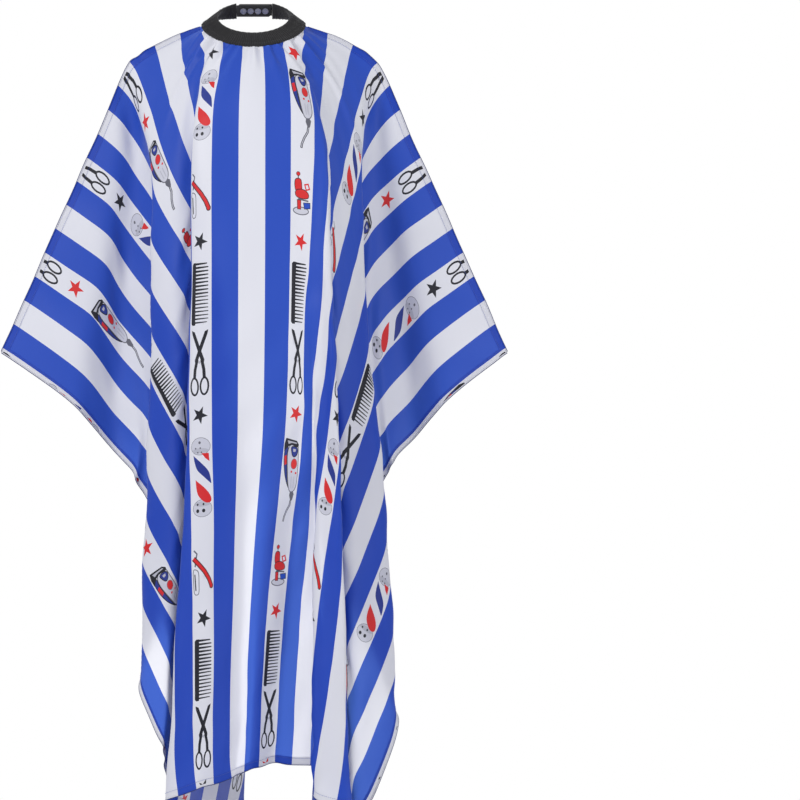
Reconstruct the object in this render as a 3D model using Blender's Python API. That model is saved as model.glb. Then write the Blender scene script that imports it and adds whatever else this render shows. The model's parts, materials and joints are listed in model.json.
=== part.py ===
"""Barber cape: a striped cutting cape that hangs from its neckband.

Units are metres and +Z is up.  The origin is the centre of the neck opening, the front of the
cape faces -Y, and +X is to the right of someone looking at the front.

Build order: the cape panel and its turned hems, the three layers of the neckband, then the snap
closure at the nape.  The closure's outer tab turns on an empty whose Z axis is the tab's crease.
"""
import math

import bpy
import bmesh
from mathutils import Matrix, Vector

# ---------------------------------------------------------------- driving dimensions (metres)
GAP = 0.0003                    # clearance kept between neighbouring solids

CLOTH = 0.0025                  # thickness of the panel's solid
HEM_WIDTH = 0.012               # width of the turned hem
HEM_PLY = 0.0010                # thickness of the turned ply
HEM_GAP = 0.0005                # clearance between the panel and the turned ply
HEM_FIRST_ROW = 1               # the top hems start just outside the neckband
SAMPLES_ACROSS = 3              # panel columns between two guide curves
SAMPLES_DOWN = 4                # panel rows between two guide points

BAND_LOW = (0.081, 0.0752)      # half width and half depth of the neckband's lower edge
BAND_HIGH = (0.059, 0.0635)     # the same for its upper edge
BAND_LOW_CENTRE_Y = -0.0028
BAND_HIGH_CENTRE_Y = 0.0005
BAND_BACK_FLATNESS = 0.45       # how much flatter the nape is than an ellipse
BAND_END_X = 0.030              # where the band stops on each side of the nape
BAND_PLY = 0.0012               # casing cloth, gathered
ELASTIC = 0.0018                # woven elastic inside the casing
BAND_STEPS = 48
PANEL_TO_BAND = 0.0015          # seam allowance between the band's edge and the panel's solid

TAB_LENGTH = 0.0557
TAB_WIDTH = 0.020
TAB_PLY = 0.0016
TAB_EDGE_RADIUS = 0.004
INNER_TAB_N = -0.0032           # inner face of the inner tab, measured from the band's middle
OUTER_TAB_N = 0.0019            # inner face of the outer tab
TAB_ROOT_GAP = 0.0010           # the band's plies fan out a little at their cut ends
TAB_ROOT_X = BAND_END_X - TAB_ROOT_GAP
HINGE_N = OUTER_TAB_N + TAB_PLY / 2

SNAP_PITCH = 0.012
STUD_COUNT = 4
SOCKET_COUNT = 2
FIRST_SNAP_X = -0.018
SNAP_RADIUS = 0.0052
SNAP_CAP = 0.0008
STUD_BASE = 0.0008
STUD_HEAD_RADIUS = 0.0022
STUD_HEAD_HEIGHT = 0.0015
SOCKET_HEIGHT = 0.0018
SOCKET_BORE = 0.0026
POST_RADIUS = 0.0009
POST_HOLE = 0.0013
ROUND_SEGMENTS = 24

# Guide curves of the panel's right half, from the neckband outwards and down.  Each has its
# place along the neckband (0 at the front, 1 at the nape) and five points: yoke, shoulder,
# chest, hip and hem.  The panel is sewn to the front half of the band only.
GUIDES = (
    ("top_edge", 0.58, ((0.138, 0.012, -0.025), (0.203, 0.012, -0.066), (0.262, 0.030, -0.198),
                        (0.337, 0.055, -0.365), (0.4166, 0.080, -0.541))),
    ("wing_middle", 0.53, ((0.131, -0.010, -0.031), (0.194, -0.018, -0.086), (0.232, -0.010, -0.240),
                           (0.270, 0.015, -0.440), (0.305, 0.045, -0.640))),
    ("wing_inner", 0.48, ((0.124, -0.026, -0.039), (0.187, -0.042, -0.118), (0.206, -0.040, -0.300),
                          (0.206, -0.010, -0.520), (0.204, 0.035, -0.738))),
    ("side_back", 0.43, ((0.115, -0.043, -0.049), (0.180, -0.062, -0.150), (0.196, -0.062, -0.380),
                         (0.198, -0.010, -0.700), (0.186, 0.070, -1.050))),
    ("back_corner", 0.38, ((0.106, -0.057, -0.057), (0.170, -0.082, -0.170), (0.190, -0.082, -0.420),
                           (0.200, -0.030, -0.870), (0.190, 0.080, -1.470))),
    ("side_fold", 0.33, ((0.094, -0.071, -0.064), (0.150, -0.110, -0.180), (0.178, -0.112, -0.450),
                         (0.196, -0.085, -0.920), (0.200, -0.030, -1.450))),
    ("front_fold", 0.25, ((0.070, -0.094, -0.073), (0.110, -0.135, -0.190), (0.122, -0.150, -0.450),
                          (0.130, -0.152, -0.860), (0.136, -0.140, -1.310))),
    ("front_centre", 0.00, ((0.0, -0.114, -0.084), (0.0, -0.145, -0.190), (0.0, -0.160, -0.450),
                            (0.0, -0.166, -0.830), (0.0, -0.166, -1.220))),
)


# ---------------------------------------------------------------- helpers
def clear_scene():
    for obj in list(bpy.data.objects):
        bpy.data.objects.remove(obj, do_unlink=True)


def material(name, colour, roughness, metallic=0.0):
    made = bpy.data.materials.new(name)
    made.use_nodes = True
    shader = made.node_tree.nodes["Principled BSDF"]
    shader.inputs["Base Color"].default_value = (*colour, 1.0)
    shader.inputs["Roughness"].default_value = roughness
    shader.inputs["Metallic"].default_value = metallic
    return made


def add_object(name, bm, surface, parent=None):
    """Turn a bmesh into a linked object with one material."""
    bmesh.ops.recalc_face_normals(bm, faces=bm.faces)
    mesh = bpy.data.meshes.new(name)
    bm.to_mesh(mesh)
    bm.free()
    mesh.materials.append(surface)
    mesh.shade_smooth()
    mesh.set_sharp_from_angle(angle=math.radians(35))
    obj = bpy.data.objects.new(name, mesh)
    bpy.context.scene.collection.objects.link(obj)
    obj.parent = parent
    return obj


def grid_normals(grid):
    """Outward unit normals at the points of a grid whose rows run down and columns run to +X."""
    last_row, last_col = len(grid) - 1, len(grid[0]) - 1
    normals = []
    for r, row in enumerate(grid):
        line = []
        for c in range(len(row)):
            down = grid[min(r + 1, last_row)][c] - grid[max(r - 1, 0)][c]
            across = grid[r][min(c + 1, last_col)] - grid[r][max(c - 1, 0)]
            line.append(down.cross(across).normalized())
        normals.append(line)
    return normals


def thick_sheet(name, grid, normals, low, high, surface):
    """A closed solid between two offsets of one grid of points."""
    bm = bmesh.new()
    layers = []
    for offset in (low, high):
        layers.append([[bm.verts.new(p + n * offset) for p, n in zip(points, directions)]
                       for points, directions in zip(grid, normals)])
    under, over = layers
    rows, cols = len(grid), len(grid[0])
    for r in range(rows - 1):
        for c in range(cols - 1):
            for layer in layers:
                bm.faces.new((layer[r][c], layer[r][c + 1], layer[r + 1][c + 1], layer[r + 1][c]))
    for c in range(cols - 1):
        for r in (0, rows - 1):
            bm.faces.new((under[r][c], under[r][c + 1], over[r][c + 1], over[r][c]))
    for r in range(rows - 1):
        for c in (0, cols - 1):
            bm.faces.new((under[r][c], under[r + 1][c], over[r + 1][c], over[r][c]))
    return add_object(name, bm, surface)


def through_points(points, samples):
    """Points of a smooth Catmull-Rom curve through the given ones."""
    ends = [points[0] * 2 - points[1]] + list(points) + [points[-1] * 2 - points[-2]]
    curve = []
    for a, b, c, d in zip(ends, ends[1:], ends[2:], ends[3:]):
        for step in range(samples):
            t = step / samples
            curve.append(0.5 * (2 * b + (c - a) * t + (2 * a - 5 * b + 4 * c - d) * t ** 2
                                + (3 * b - a - 3 * c + d) * t ** 3))
    curve.append(points[-1].copy())
    return curve


# ---------------------------------------------------------------- neckband curves
def flattened_cosine(angle):
    """Cosine that stays near -1 for longer at the nape and is unchanged at the front."""
    flat = BAND_BACK_FLATNESS if math.cos(angle) < 0 else 0.0
    return math.cos(angle) * (1 + flat * math.sin(angle) ** 2)


def band_edge_low(place):
    angle = place * (math.pi - math.asin(BAND_END_X / BAND_LOW[0]))
    return Vector((BAND_LOW[0] * math.sin(angle),
                   BAND_LOW_CENTRE_Y - BAND_LOW[1] * flattened_cosine(angle),
                   -0.0100 - 0.0265 * math.cos(angle) - 0.0045 * math.cos(2 * angle)))


def band_edge_high(place):
    angle = place * (math.pi - math.asin(BAND_END_X / BAND_HIGH[0]))
    return Vector((BAND_HIGH[0] * math.sin(angle),
                   BAND_HIGH_CENTRE_Y - BAND_HIGH[1] * flattened_cosine(angle),
                   0.0080 - 0.0285 * math.cos(angle) - 0.0005 * math.cos(2 * angle)))


# ---------------------------------------------------------------- panel and hems
def panel_top(place):
    """Where the panel's solid starts, just outside the band's lower edge."""
    low = band_edge_low(place)
    outwards = (low - band_edge_high(place)).normalized()
    return low + outwards * PANEL_TO_BAND


def guide_curve(place, points, side):
    start = panel_top(place * side)
    rest = [Vector((x * side, y, z)) for x, y, z in points]
    return through_points([start] + rest, SAMPLES_DOWN)


def column_places():
    """The place along the neckband where each column of the panel starts."""
    half = [place for _, place, _ in GUIDES]
    ends = [-place for place in half] + half[-2::-1]
    places = [start + (end - start) * step / SAMPLES_ACROSS
              for start, end in zip(ends, ends[1:]) for step in range(SAMPLES_ACROSS)]
    return places + [ends[-1]]


def panel_grid():
    """Rows from the neckband to the hem, columns from the left top edge to the right one."""
    left = [guide_curve(place, points, -1) for _, place, points in GUIDES]
    right = [guide_curve(place, points, 1) for _, place, points in GUIDES[-2::-1]]
    curves = left + right
    grid = [through_points([curve[r] for curve in curves], SAMPLES_ACROSS)
            for r in range(len(curves[0]))]
    grid[0] = [panel_top(place) for place in column_places()]
    grid.insert(-1, [toward(edge, inner) for edge, inner in zip(grid[-1], grid[-2])])
    for row in grid:
        row.insert(1, toward(row[0], row[1]))
        row.insert(-1, toward(row[-1], row[-2]))
    return grid


def toward(edge, inner):
    """The point one hem width in from the edge."""
    return edge + (inner - edge).normalized() * HEM_WIDTH


def trimmed(line, gap):
    """A line of points whose two ends are pulled in by a clearance."""
    first = line[0] + (line[1] - line[0]).normalized() * gap
    last = line[-1] + (line[-2] - line[-1]).normalized() * gap
    return [first] + list(line[1:-1]) + [last]


def build_panel(cloth, hem_cloth):
    grid = panel_grid()
    normals = grid_normals(grid)
    thick_sheet("cape_panel", grid, normals, -CLOTH / 2, CLOTH / 2, cloth)

    high = -CLOTH / 2 - HEM_GAP
    low = high - HEM_PLY
    cols = len(grid[0])
    side_cols = 1 + SAMPLES_ACROSS * 4          # the side edge runs from wing tip to back corner
    top_spans = (("top_hem_left", slice(0, 2)), ("top_hem_right", slice(cols - 2, cols)))
    for name, span in top_spans:
        rows = [row[span] for row in grid[HEM_FIRST_ROW:]]
        thick_sheet(name, rows, [line[span] for line in normals[HEM_FIRST_ROW:]],
                    low, high, hem_cloth)
    bottom_spans = (("side_hem_left", slice(1, side_cols + 1)),
                    ("front_hem", slice(side_cols, cols - side_cols)),
                    ("side_hem_right", slice(cols - side_cols - 1, cols - 1)))
    for name, span in bottom_spans:
        rows = [trimmed(row[span], GAP) for row in grid[-2:]]
        thick_sheet(name, rows, [line[span] for line in normals[-2:]], low, high, hem_cloth)


# ---------------------------------------------------------------- neckband
def build_neckband(casing, elastic):
    places = [2 * step / BAND_STEPS - 1 for step in range(BAND_STEPS + 1)]
    high = [band_edge_high(place) for place in places]
    low = [band_edge_low(place) for place in places]
    middle = [(a + b) / 2 for a, b in zip(high, low)]
    grid = [high, middle, low]
    normals = grid_normals(grid)
    ply_start = ELASTIC / 2 + GAP
    thick_sheet("neckband_outer_ply", grid, normals, ply_start, ply_start + BAND_PLY, casing)
    thick_sheet("neckband_inner_ply", grid, normals, -ply_start - BAND_PLY, -ply_start, casing)
    thick_sheet("neckband_elastic", grid, normals, -ELASTIC / 2, ELASTIC / 2, elastic)


# ---------------------------------------------------------------- snap closure
def closure_frame():
    """An empty at the nape: X along the tabs, Y out of the neck, Z up the band's width."""
    low, high = band_edge_low(1.0), band_edge_high(1.0)
    middle = (low + high) / 2
    tilt = math.atan2(low.y - high.y, high.z - low.z)
    frame = bpy.data.objects.new("closure_frame", None)
    bpy.context.scene.collection.objects.link(frame)
    frame.location = (0.0, middle.y, middle.z)
    frame.rotation_euler = (tilt, 0.0, 0.0)
    return frame


def hinge_frame(parent):
    """An empty on the crease where the outer tab leaves the band."""
    hinge = bpy.data.objects.new("outer_tab_crease", None)
    bpy.context.scene.collection.objects.link(hinge)
    hinge.parent = parent
    hinge.location = (TAB_ROOT_X, HINGE_N, 0.0)
    return hinge


def cylinder(bm, radius, start, end, x=0.0):
    """A closed cylinder along Y between two heights, centred on x."""
    turn = Matrix.Rotation(math.radians(90), 4, "X")
    place = Matrix.Translation((x, (start + end) / 2, 0.0)) @ turn
    bmesh.ops.create_cone(bm, cap_ends=True, segments=ROUND_SEGMENTS, radius1=radius,
                          radius2=radius, depth=end - start, matrix=place)


def turned(name, outline, surface, parent, location):
    """A solid of revolution about local Y; the outline is (radius, height) from axis to axis."""
    bm = bmesh.new()
    previous = None
    for radius, height in outline:
        if radius == 0.0:
            ring = [bm.verts.new((0.0, height, 0.0))]
        else:
            ring = [bm.verts.new((radius * math.cos(2 * math.pi * step / ROUND_SEGMENTS), height,
                                  radius * math.sin(2 * math.pi * step / ROUND_SEGMENTS)))
                    for step in range(ROUND_SEGMENTS)]
        if previous:
            join_rings(bm, previous, ring)
        previous = ring
    obj = add_object(name, bm, surface, parent)
    obj.location = location
    return obj


def join_rings(bm, first, second):
    for step in range(ROUND_SEGMENTS):
        after = (step + 1) % ROUND_SEGMENTS
        if len(first) == 1:
            bm.faces.new((first[0], second[step], second[after]))
        elif len(second) == 1:
            bm.faces.new((first[step], second[0], first[after]))
        else:
            bm.faces.new((first[step], second[step], second[after], first[after]))


def tab(name, direction, holes, surface, parent):
    """A flat tab from x = 0 to its free end, with rounded free corners and post holes."""
    bm = bmesh.new()
    half = TAB_WIDTH / 2
    outline = [(0.0, -half)]
    for centre_z, first_angle in ((-half + TAB_EDGE_RADIUS, -90), (half - TAB_EDGE_RADIUS, 0)):
        for step in range(7):
            angle = math.radians(first_angle + 15 * step)
            outline.append((TAB_LENGTH - TAB_EDGE_RADIUS * (1 - math.cos(angle)),
                            centre_z + TAB_EDGE_RADIUS * math.sin(angle)))
    outline.append((0.0, half))
    verts = [bm.verts.new((x * direction, -TAB_PLY / 2, z)) for x, z in outline]
    face = bm.faces.new(verts)
    grown = bmesh.ops.extrude_face_region(bm, geom=[face])
    moved = [item for item in grown["geom"] if isinstance(item, bmesh.types.BMVert)]
    bmesh.ops.translate(bm, verts=moved, vec=(0.0, TAB_PLY, 0.0))
    obj = add_object(name, bm, surface, parent)

    cutter_mesh = bmesh.new()
    for x in holes:
        cylinder(cutter_mesh, POST_HOLE, -TAB_PLY, TAB_PLY, x)
    cutter = add_object(name + "_hole_cutter", cutter_mesh, surface, obj)
    cutter.hide_render = True
    cutter.display_type = "WIRE"
    cut = obj.modifiers.new("post_holes", "BOOLEAN")
    cut.object = cutter
    cut.operation = "DIFFERENCE"
    cut.solver = "EXACT"
    return obj


def build_stud(number, x, metal, parent):
    """Stud half of a snap: a base disc with a domed head, and the cap that rivets it on."""
    face = INNER_TAB_N + TAB_PLY + GAP
    head_top = STUD_BASE + STUD_HEAD_HEIGHT
    neck = STUD_HEAD_RADIUS * 0.86
    outline = ((0.0, 0.0), (SNAP_RADIUS, 0.0), (SNAP_RADIUS, STUD_BASE * 0.7),
               (SNAP_RADIUS - 0.0004, STUD_BASE), (neck, STUD_BASE),
               (STUD_HEAD_RADIUS, STUD_BASE + STUD_HEAD_HEIGHT * 0.5),
               (STUD_HEAD_RADIUS * 0.8, head_top - 0.0002), (STUD_HEAD_RADIUS * 0.4, head_top),
               (0.0, head_top))
    turned(f"stud_{number}", outline, metal, parent, (x, face, 0.0))
    turned(f"stud_cap_{number}", cap_outline(-1), metal, parent, (x, INNER_TAB_N - GAP, 0.0))


def build_socket(number, x, metal, parent):
    """Socket half of a snap: a ring that the stud's head enters, and its outer cap."""
    ring_top = -TAB_PLY / 2 - GAP
    bm = bmesh.new()
    outline = ((SOCKET_BORE, 0.0), (SNAP_RADIUS - 0.0004, 0.0), (SNAP_RADIUS, -0.0004),
               (SNAP_RADIUS, -SOCKET_HEIGHT + 0.0004), (SNAP_RADIUS - 0.0004, -SOCKET_HEIGHT),
               (SOCKET_BORE, -SOCKET_HEIGHT))
    rings = [[bm.verts.new((radius * math.cos(2 * math.pi * step / ROUND_SEGMENTS), height,
                            radius * math.sin(2 * math.pi * step / ROUND_SEGMENTS)))
              for step in range(ROUND_SEGMENTS)] for radius, height in outline]
    for first, second in zip(rings, rings[1:] + rings[:1]):
        join_rings(bm, first, second)
    obj = add_object(f"socket_{number}", bm, metal, parent)
    obj.location = (x, ring_top, 0.0)
    turned(f"socket_cap_{number}", cap_outline(1), metal, parent, (x, TAB_PLY / 2 + GAP, 0.0))


def cap_outline(side):
    """A slightly domed cap whose post reaches back through the tab's hole."""
    post = TAB_PLY + GAP
    outline = ((0.0, -post), (POST_RADIUS, -post), (POST_RADIUS, 0.0), (SNAP_RADIUS, 0.0),
               (SNAP_RADIUS, SNAP_CAP * 0.5), (SNAP_RADIUS * 0.7, SNAP_CAP * 0.9),
               (0.0, SNAP_CAP))
    return tuple((radius, height * side) for radius, height in outline)


def build_closure(tab_cloth, metal):
    frame = closure_frame()
    crease = hinge_frame(frame)
    stud_places = [FIRST_SNAP_X + SNAP_PITCH * step for step in range(STUD_COUNT)]
    inner = tab("inner_tab", 1, [x + TAB_ROOT_X for x in stud_places], tab_cloth, frame)
    inner.location = (-TAB_ROOT_X, INNER_TAB_N + TAB_PLY / 2, 0.0)
    socket_places = [x - TAB_ROOT_X for x in stud_places[:SOCKET_COUNT]]
    tab("outer_tab", -1, socket_places, tab_cloth, crease)
    for number, x in enumerate(stud_places, 1):
        build_stud(number, x, metal, frame)
    for number, x in enumerate(socket_places, 1):
        build_socket(number, x, metal, crease)


def build():
    clear_scene()
    striped = material("striped_polyester", (0.10, 0.22, 0.72), 0.55)
    hem_cloth = material("hem_polyester", (0.08, 0.14, 0.50), 0.60)
    casing = material("black_casing", (0.022, 0.021, 0.021), 0.75)
    elastic = material("woven_elastic", (0.035, 0.033, 0.033), 0.80)
    tab_cloth = material("black_webbing", (0.025, 0.024, 0.024), 0.70)
    metal = material("snap_metal", (0.62, 0.62, 0.60), 0.28, 1.0)
    build_panel(striped, hem_cloth)
    build_neckband(casing, elastic)
    build_closure(tab_cloth, metal)


build()
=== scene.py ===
"""Looks of the barber cape: printed cloth, turned hems, gathered neckband and snap closure.

The cape is one flat cloth with a half-round notch for the neck.  A place on the flat cloth is
(across, down): across runs from the left hem (negative) to the right one, down runs from the top
edge to the front hem.  LEFT_FOLDS, MIDDLE_FOLDS and RIGHT_FOLDS say where the folds and edges of
the worn cloth lie.  `worn_grid` pulls the cloth between them towards its flat width and length,
of which it keeps about nine tenths.  Every printed shape is cut into the flat cloth before that
is laid on the worn form.
"""
import json
import math

import bpy
import numpy as np
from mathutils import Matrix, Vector
from mathutils.geometry import delaunay_2d_cdt


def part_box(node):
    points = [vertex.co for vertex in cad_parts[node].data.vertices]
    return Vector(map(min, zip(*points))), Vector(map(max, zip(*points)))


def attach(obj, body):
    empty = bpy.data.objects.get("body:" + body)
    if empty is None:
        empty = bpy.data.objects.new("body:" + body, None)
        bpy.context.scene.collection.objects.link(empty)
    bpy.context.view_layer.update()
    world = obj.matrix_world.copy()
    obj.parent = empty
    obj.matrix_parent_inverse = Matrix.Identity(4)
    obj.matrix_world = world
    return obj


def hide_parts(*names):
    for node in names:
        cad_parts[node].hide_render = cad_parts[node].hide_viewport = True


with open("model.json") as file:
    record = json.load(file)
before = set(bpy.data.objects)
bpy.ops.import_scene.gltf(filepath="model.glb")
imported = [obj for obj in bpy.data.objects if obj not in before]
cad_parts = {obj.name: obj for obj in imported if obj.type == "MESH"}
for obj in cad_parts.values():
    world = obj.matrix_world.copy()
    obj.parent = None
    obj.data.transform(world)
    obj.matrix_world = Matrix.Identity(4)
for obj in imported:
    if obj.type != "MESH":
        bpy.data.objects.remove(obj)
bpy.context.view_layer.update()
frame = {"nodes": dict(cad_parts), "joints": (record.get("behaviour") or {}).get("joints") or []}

# ---------------------------------------------------------------- the flat cloth (metres)
STRIPE = 0.0445                 # width of one stripe
HALF_WIDTH = 0.786
LENGTH = 1.34
NOTCH = 0.111                   # radius of the neck's notch
CELL = STRIPE / 7               # mesh size, with a grid line on every stripe's edge

# ---------------------------------------------------------------- neckband, as in the CAD
LOW_HALF = (0.081, 0.0752)
HIGH_HALF = (0.059, 0.0635)
LOW_Y, HIGH_Y = -0.0028, 0.0005
BACK_FLATNESS = 0.45
BAND_END_X = 0.0296
BAND_HEIGHT = 0.022
LOW_RISE = (-0.0100, -0.0265, -0.0045)      # height: level, dip at the front, lift at the sides
HIGH_RISE = (0.0080, -0.0285, -0.0005)
NECK_BLEND = 0.025              # how far below the band the cloth is drawn onto its low edge

# ---------------------------------------------------------------- folds of the worn cloth
# Each point is (across, down, x, y, z) in millimetres.  LEFT_FOLDS are given as if
# they lay on the right, and are mirrored.  The lines run from the neckband or the shoulder to the
# hems, and those that hang from the shoulder begin with OVER_SHOULDER or OVER_TOP.
OVER_SHOULDER = ((111, 0, 83, 6, -6), (156, 0, 121, 12, -19), (200, 0, 162, 14, -39))
SHOULDER_TIP = (245, 0, 203, 12, -66)
OVER_TOP = OVER_SHOULDER + (SHOULDER_TIP,)
TOP_EDGE = OVER_TOP + ((380, 0, 256, 29, -185), (516, 0, 310, 46, -303), (651, 0, 363, 63, -422),
                       (786, 0, 416.6, 80, -541))
LEFT_FOLDS = (
    ("top_edge", TOP_EDGE),
    ("wing_swell", OVER_TOP + (
        (350, 40, 213, 15, -180), (440, 66, 226, 18, -274), (530, 92, 238, 24, -362),
        (620, 112, 256, 30, -452), (700, 130, 275, 37, -535), (786, 150, 294, 44, -628))),
    ("wing_dip", OVER_TOP + (
        (335, 76, 194, 36, -201), (430, 112, 202, 50, -302), (520, 156, 212, 62, -412),
        (610, 186, 221, 71, -508), (700, 220, 229, 78, -612), (786, 248, 231, 84, -706))),
    ("wing_root", OVER_TOP + (
        (334, 91, 190, 30, -212), (423, 131, 188, 35, -308), (512, 186, 188, 40, -430),
        (601, 219, 190, 45, -526), (690, 258, 193, 50, -631), (786, 300, 195, 55, -738))),
    ("wing_tuck", OVER_TOP + (
        (295, 80, 175, 12, -180), (360, 170, 145, 0, -310), (445, 265, 115, 10, -430),
        (530, 350, 100, 20, -560), (620, 430, 85, 30, -680), (700, 520, 80, 40, -800),
        (786, 600, 90, 45, -920))),
    ("side_fold", OVER_SHOULDER + (
        (245, 4, 200, 0, -66), (270, 90, 185, -45, -155), (289, 198, 179, -60, -269),
        (334, 279, 180, -65, -361), (423, 404, 181, -70, -510), (512, 518, 186, -70, -648),
        (601, 640, 190, -70, -810), (690, 740, 193, -70, -945), (786, 835, 194, -65, -1082))),
    ("side_inner", (
        (100, 48, 70, -37, -18), (130, 100, 90, -60, -60), (156, 150, 105, -78, -108),
        (200, 200, 118, -90, -189), (245, 265, 114, -100, -290), (289, 325, 116, -105, -360),
        (378, 444, 116, -110, -510), (467, 575, 118, -115, -674), (556, 693, 121, -120, -828),
        (645, 800, 134, -120, -968), (734, 880, 139, -115, -1112), (786, 920, 146, -110, -1186))),
    ("corner_fold", (
        (95, 57, 67, -42, -22), (135, 130, 92, -65, -80), (180, 210, 100, -85, -170),
        (250, 360, 90, -80, -340), (360, 600, 80, -60, -580), (500, 850, 90, -30, -840),
        (640, 1080, 110, 0, -1120), (786, 1340, 120, 50, -1480))),
    ("hidden_tuck", (
        (86, 70, 60, -50, -28), (120, 140, 85, -75, -85), (150, 240, 75, -80, -170),
        (205, 420, 50, -50, -350), (280, 660, 20, 0, -600), (360, 900, 0, 40, -850),
        (430, 1120, 0, 70, -1080), (500, 1340, 20, 80, -1340))),
    ("front_fold", (
        (75, 82, 52, -62, -34), (100, 155, 80, -100, -87), (115, 255, 113, -135, -177),
        (118, 453, 113, -150, -374), (122, 765, 118, -155, -686), (145, 978, 130, -150, -899),
        (167, 1190, 139, -145, -1112), (186, 1340, 149, -140, -1271))),
)
MIDDLE_FOLDS = (
    ("left_crest", (
        (-30, 107, -26, -75, -39), (-45, 160, -42, -112, -80), (-60, 270, -60, -144, -184),
        (-75, 530, -75, -160, -444), (-85, 760, -82, -164, -674), (-89, 910, -79, -167, -824),
        (-89, 1100, -77, -168, -1012), (-89, 1340, -79, -160, -1245))),
    ("centre_line", (
        (0, 111, 0, -78, -41), (0, 160, 0, -115, -80), (0, 270, 0, -146, -185),
        (0, 530, 0, -160, -445), (0, 760, -2, -158, -673), (0, 910, -10, -145, -820),
        (0, 1100, -18, -130, -1005), (0, 1340, -25, -125, -1227))),
    ("inner_crest", (
        (18, 109.5, 16, -77, -40), (25, 160, 24, -114, -80), (30, 270, 30, -145, -184),
        (36, 530, 35, -159, -444), (42, 760, 36, -162, -673), (45, 910, 24, -163, -820),
        (45, 1100, 8, -160, -1000), (45, 1340, -2, -150, -1215))),
    ("inner_dip", (
        (28, 108, 26, -75, -39), (42, 158, 38, -111, -80), (55, 270, 52, -143, -183),
        (68, 530, 64, -156, -443), (85, 720, 72, -148, -633), (102, 860, 66, -128, -772),
        (110, 1000, 55, -112, -905), (112, 1120, 46, -106, -1015), (115, 1340, 38, -100, -1205))),
)
RIGHT_FOLDS = (
    ("top_edge", TOP_EDGE),
    ("wing_swell", OVER_TOP + (
        (350, 34, 217, 15, -176), (440, 54, 235, 18, -268), (530, 78, 251, 24, -357),
        (620, 96, 271, 30, -447), (700, 116, 290, 37, -532), (786, 135, 316, 44, -618))),
    ("wing_dip", OVER_TOP + (
        (335, 60, 203, 34, -188), (430, 88, 213, 48, -281), (520, 124, 225, 60, -379),
        (610, 152, 239, 69, -471), (700, 196, 252, 76, -588), (786, 224, 264, 82, -688))),
    ("wing_root", OVER_TOP + (
        (334, 70, 196, 25, -180), (423, 100, 196, 30, -280), (512, 147, 200, 35, -389),
        (601, 180, 208, 40, -480), (690, 233, 217, 45, -604), (786, 270, 225, 50, -720))),
    ("wing_tuck", OVER_TOP + (
        (295, 80, 180, 12, -180), (360, 150, 160, 0, -290), (445, 250, 140, 10, -400),
        (530, 340, 130, 20, -540), (620, 430, 120, 30, -670), (700, 530, 120, 40, -800),
        (786, 620, 130, 45, -930))),
    ("side_fold", OVER_SHOULDER + (
        (245, 4, 198, 0, -64), (275, 100, 190, -45, -160), (300, 180, 189, -55, -250),
        (334, 250, 189, -60, -336), (423, 420, 200, -65, -528), (512, 552, 216, -65, -687),
        (601, 675, 232, -65, -840), (690, 807, 239, -60, -999), (786, 930, 243, -55, -1130))),
    ("side_inner", (
        (100, 48, 70, -37, -18), (130, 100, 92, -60, -60), (156, 150, 110, -78, -105),
        (200, 215, 128, -90, -189), (245, 290, 132, -100, -300), (334, 454, 134, -110, -521),
        (423, 586, 144, -115, -681), (512, 724, 153, -120, -851), (601, 847, 161, -120, -999),
        (690, 985, 166, -115, -1158), (786, 1120, 170, -110, -1300))),
    ("corner_fold", (
        (93, 60, 67, -42, -22), (135, 130, 98, -73, -82), (178, 210, 123, -93, -172),
        (266, 398, 126, -102, -410), (391, 623, 125, -100, -680), (538, 889, 134, -80, -980),
        (693, 1175, 136, -50, -1300), (786, 1340, 150, -15, -1470))),
    ("hidden_tuck", (
        (80, 77, 60, -50, -28), (125, 150, 100, -85, -90), (162.5, 220, 116, -98, -170),
        (242, 423, 114, -95, -407), (356, 661, 108, -88, -677), (476.5, 930, 108, -45, -965),
        (600, 1230, 92, 12, -1280), (640, 1340, 96, 15, -1380))),
    ("panel_edge", (
        (65, 90, 58, -58, -32), (100, 155, 80, -100, -70), (140, 238, 126, -130, -161),
        (164, 305, 134, -148, -228), (195, 475, 136, -160, -402), (245, 615, 143, -168, -541),
        (290, 737, 150, -172, -669), (322, 840, 155, -174, -780), (352, 1010, 161, -174, -950),
        (378, 1170, 165, -174, -1110), (395, 1340, 170, -170, -1280))),
    ("front_fold", (
        (50, 99, 45, -66, -36), (75, 155, 66, -105, -80), (100, 250, 95, -138, -170),
        (120, 480, 100, -152, -400), (160, 620, 105, -153, -540), (200, 745, 100, -150, -665),
        (245, 900, 93, -155, -813), (289, 1100, 89, -160, -1040), (345, 1340, 87, -160, -1270))),
    ("front_tuck", (
        (35, 105, 32, -73, -39), (55, 155, 50, -108, -80), (70, 250, 66, -140, -170),
        (90, 480, 80, -153, -400), (130, 620, 92, -151, -540), (165, 745, 104, -145, -660),
        (200, 900, 118, -130, -805), (225, 1100, 122, -122, -1000), (245, 1340, 124, -115, -1200))),
)
SEEN_FOLDS = ("side_fold", "side_inner", "wing_root", "wing_swell", "wing_dip", "front_fold",
              "panel_edge", "left_crest", "centre_line", "inner_crest", "inner_dip")

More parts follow.
